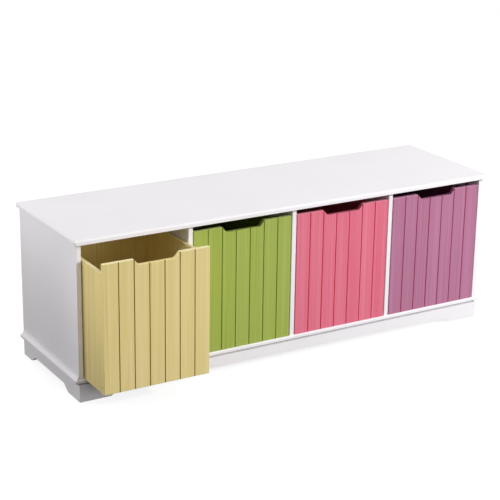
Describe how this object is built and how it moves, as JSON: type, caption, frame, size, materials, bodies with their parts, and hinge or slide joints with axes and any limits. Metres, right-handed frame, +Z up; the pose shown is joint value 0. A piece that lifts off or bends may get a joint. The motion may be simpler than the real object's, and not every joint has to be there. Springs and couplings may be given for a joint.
{
  "type": "cube storage unit",
  "caption": "Low white storage bench on a bracket-foot plinth, with a row of open-topped pull-out bins that have grooved, finger-notched fronts.",
  "frame": {"origin": "on the floor, under the middle of the top board", "axes": "+X along the bench to the right as seen from the front, +Y to the back, +Z up; bins pull out along -Y"},
  "size_m": [1.2, 0.448, 0.406],
  "materials": {
    "white_paint": "satin white paint on fibreboard",
    "yellow_paint": "satin pale yellow paint with faint vertical brush marks",
    "green_paint": "satin leaf green paint with faint vertical brush marks",
    "pink_paint": "satin rose pink paint with faint vertical brush marks",
    "purple_paint": "satin mauve paint with faint vertical brush marks",
    "back_board_white": "white-faced hardboard",
    "bare_pine": "bare planed softwood",
    "beech_dowel": "fluted beech, bare",
    "zinc_steel": "zinc plated",
    "nail_steel": "dull steel"
  },
  "bodies": {
    "cabinet": {"back_nails": "nail_steel", "back_panel": "back_board_white", "base_board": "white_paint", "base_screws": "zinc_steel", "block_screws": "zinc_steel", "cam_bolts": "zinc_steel", "cam_discs": "zinc_steel", "corner_block_back_left": "bare_pine", "corner_block_back_right": "bare_pine", "corner_block_front_left": "bare_pine", "corner_block_front_right": "bare_pine", "divider_1": "white_paint", "divider_2": "white_paint", "divider_3": "white_paint", "left_cove_strip": "white_paint", "left_side_panel": "white_paint", "plinth_back": "white_paint", "plinth_front": "white_paint", "plinth_left": "white_paint", "plinth_right": "white_paint", "right_cove_strip": "white_paint", "right_side_panel": "white_paint", "top_board": "white_paint", "top_dowels": "beech_dowel"},
    "yellow_bin": {"yellow_bin_back": "yellow_paint", "yellow_bin_bottom": "yellow_paint", "yellow_bin_dowels": "beech_dowel", "yellow_bin_front": "yellow_paint", "yellow_bin_left_side": "yellow_paint", "yellow_bin_nails": "nail_steel", "yellow_bin_right_side": "yellow_paint"},
    "green_bin": {"green_bin_back": "green_paint", "green_bin_bottom": "green_paint", "green_bin_dowels": "beech_dowel", "green_bin_front": "green_paint", "green_bin_left_side": "green_paint", "green_bin_nails": "nail_steel", "green_bin_right_side": "green_paint"},
    "pink_bin": {"pink_bin_back": "pink_paint", "pink_bin_bottom": "pink_paint", "pink_bin_dowels": "beech_dowel", "pink_bin_front": "pink_paint", "pink_bin_left_side": "pink_paint", "pink_bin_nails": "nail_steel", "pink_bin_right_side": "pink_paint"},
    "purple_bin": {"purple_bin_back": "purple_paint", "purple_bin_bottom": "purple_paint", "purple_bin_dowels": "beech_dowel", "purple_bin_front": "purple_paint", "purple_bin_left_side": "purple_paint", "purple_bin_nails": "nail_steel", "purple_bin_right_side": "purple_paint"}
  },
  "joints": [
    {"name": "yellow_bin_slide", "type": "slide", "parent": "cabinet", "child": "yellow_bin", "axis": [0, -1, 0], "range_m": [-0.111, 0.234]},
    {"name": "green_bin_slide", "type": "slide", "parent": "cabinet", "child": "green_bin", "axis": [0, -1, 0], "range_m": [0, 0.345]},
    {"name": "pink_bin_slide", "type": "slide", "parent": "cabinet", "child": "pink_bin", "axis": [0, -1, 0], "range_m": [0, 0.345]},
    {"name": "purple_bin_slide", "type": "slide", "parent": "cabinet", "child": "purple_bin", "axis": [0, -1, 0], "range_m": [0, 0.345]}
  ]
}
